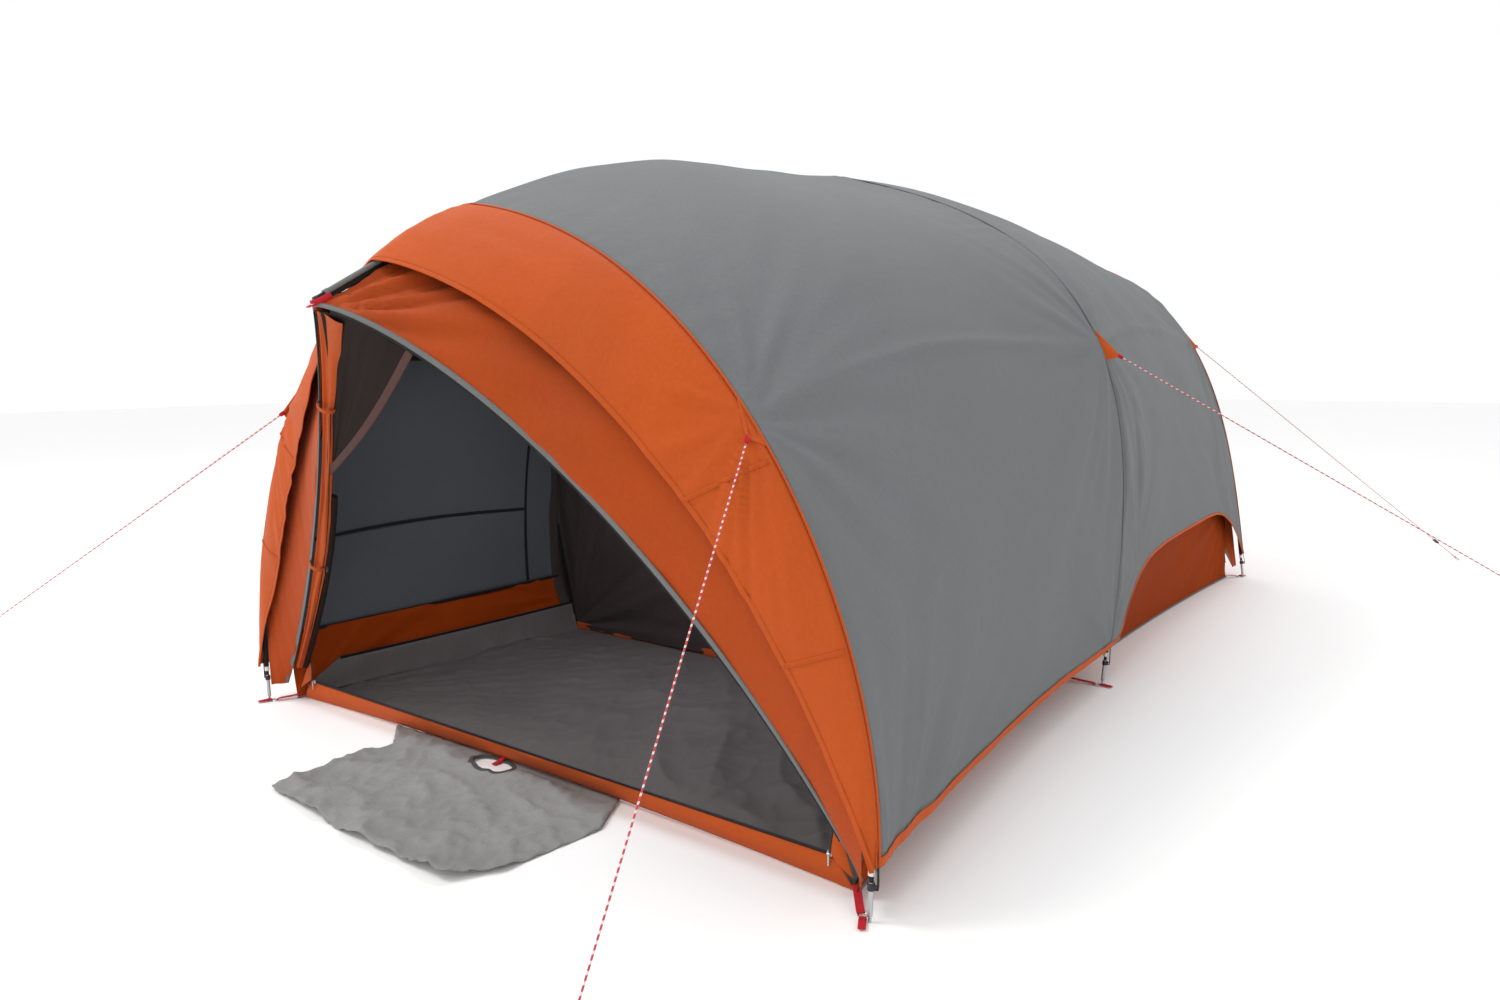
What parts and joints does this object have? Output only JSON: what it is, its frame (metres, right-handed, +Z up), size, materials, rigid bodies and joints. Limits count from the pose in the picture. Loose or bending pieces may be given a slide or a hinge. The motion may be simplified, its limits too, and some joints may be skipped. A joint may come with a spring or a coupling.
{
  "type": "dome tent",
  "caption": "Family dome tent with hoop poles and a ridge pole, grey fly, orange arched brows, open front door, two rooms, guylines and a door mat.",
  "frame": {"origin": "on the ground under the middle of the tent, halfway between the tips of the two brows", "axes": "+Z up, -Y the way the open front door faces, +X to the right of someone who stands inside and looks to the rear (the same as the right of someone who faces the door)"},
  "size_m": [5.2984, 6.5009, 2.0016],
  "materials": {
    "grey_fly_fabric": "matte",
    "orange_fabric": "matte",
    "floor_fabric": "matte",
    "dark_wall_fabric": "matte",
    "grey_wall_fabric": "matte",
    "mesh_fabric": "matte",
    "mat_fabric": "matte",
    "red_webbing": "matte",
    "guy_cord": "matte",
    "black_zip": "matte",
    "black_plastic": "satin",
    "white_plastic": "satin",
    "pole_metal": "satin",
    "tip_metal": "satin",
    "zip_metal": "satin",
    "ring_steel": "polished"
  },
  "bodies": {
    "tent": {"brow_caps": "black_plastic", "brow_tabs": "red_webbing", "corner_webbing": "red_webbing", "door_mat": "mat_fabric", "door_ties": "orange_fabric", "floor_sheet": "floor_fabric", "fly_front_band": "orange_fabric", "fly_front_left": "grey_fly_fabric", "fly_front_right": "grey_fly_fabric", "fly_rear_band": "orange_fabric", "fly_rear_left": "grey_fly_fabric", "fly_rear_right": "grey_fly_fabric", "foot_clips": "black_plastic", "foot_rings": "ring_steel", "front_brow": "orange_fabric", "front_door_bundle": "orange_fabric", "front_door_zip": "black_zip", "front_hoop_pole": "pole_metal", "front_threshold": "orange_fabric", "front_threshold_zip": "black_zip", "guy_flap_loops": "red_webbing", "guy_flaps": "orange_fabric", "guy_loop_front_left": "guy_cord", "guy_loop_front_right": "guy_cord", "guy_loop_mid_right": "guy_cord", "guy_loop_rear_right": "guy_cord", "guyline_front_left": "guy_cord", "guyline_front_right": "guy_cord", "guyline_mid_right": "guy_cord", "guyline_rear_right": "guy_cord", "mesh_roof": "mesh_fabric", "mid_hoop_pole": "pole_metal", "pole_collars": "white_plastic", "pole_ferrules": "tip_metal", "pole_tips": "tip_metal", "rear_brow": "orange_fabric", "rear_door": "orange_fabric", "rear_door_zip": "black_zip", "rear_hoop_pole": "pole_metal", "rear_threshold": "orange_fabric", "rear_threshold_zip": "black_zip", "ridge_clips": "black_plastic", "ridge_pole": "pole_metal", "room_divider": "dark_wall_fabric", "skirt_front_room": "orange_fabric", "skirt_rear_room": "orange_fabric", "threshold_peg_loop": "red_webbing", "wall_front_room": "grey_wall_fabric", "wall_rear_room": "grey_wall_fabric"},
    "front_right_slider": {"front_right_zip_slider": "zip_metal"},
    "front_right_tab": {"front_right_pull_tab": "zip_metal"},
    "front_left_slider": {"front_left_zip_slider": "zip_metal"},
    "front_left_tab": {"front_left_pull_tab": "zip_metal"},
    "rear_slider": {"rear_zip_slider": "zip_metal"},
    "rear_tab": {"rear_pull_tab": "zip_metal"},
    "front_right_tensioner": {"guy_tensioner_front_right": "black_plastic"},
    "front_left_tensioner": {"guy_tensioner_front_left": "black_plastic"},
    "mid_right_tensioner": {"guy_tensioner_mid_right": "black_plastic"},
    "rear_right_tensioner": {"guy_tensioner_rear_right": "black_plastic"}
  },
  "joints": [
    {"name": "front_right_tensioner_slide", "type": "slide", "parent": "tent", "child": "front_right_tensioner", "axis": [-0.1966, 0.6658, 0.7198], "range_m": [-0.05, 0.4]},
    {"name": "front_left_tensioner_slide", "type": "slide", "parent": "tent", "child": "front_left_tensioner", "axis": [0.6929, 0.4634, 0.5524], "range_m": [-0.05, 0.4]},
    {"name": "mid_right_tensioner_slide", "type": "slide", "parent": "tent", "child": "mid_right_tensioner", "axis": [-0.7502, -0.428, 0.504], "range_m": [-0.05, 0.4]},
    {"name": "rear_right_tensioner_slide", "type": "slide", "parent": "tent", "child": "rear_right_tensioner", "axis": [-0.5902, -0.5529, 0.5882], "range_m": [-0.05, 0.4]},
    {"name": "front_right_zip_slide", "type": "slide", "parent": "tent", "child": "front_right_slider", "axis": [-1, 0, 0], "range_m": [0, 1.04]},
    {"name": "front_left_zip_slide", "type": "slide", "parent": "tent", "child": "front_left_slider", "axis": [1, 0, 0], "range_m": [0, 1.03]},
    {"name": "rear_zip_slide", "type": "slide", "parent": "tent", "child": "rear_slider", "axis": [-1, 0, 0], "range_m": [0, 2.15]},
    {"name": "front_right_tab_hinge", "type": "hinge", "parent": "front_right_slider", "child": "front_right_tab", "pos_m": [1.095, -2.019, 0.076], "axis": [-1, 0, 0], "range_deg": [0, 140]},
    {"name": "front_left_tab_hinge", "type": "hinge", "parent": "front_left_slider", "child": "front_left_tab", "pos_m": [-1.095, -2.019, 0.076], "axis": [-1, 0, 0], "range_deg": [0, 140]},
    {"name": "rear_tab_hinge", "type": "hinge", "parent": "rear_slider", "child": "rear_tab", "pos_m": [1.095, 2.083, 0.076], "axis": [1, 0, 0], "range_deg": [0, 90]}
  ]
}
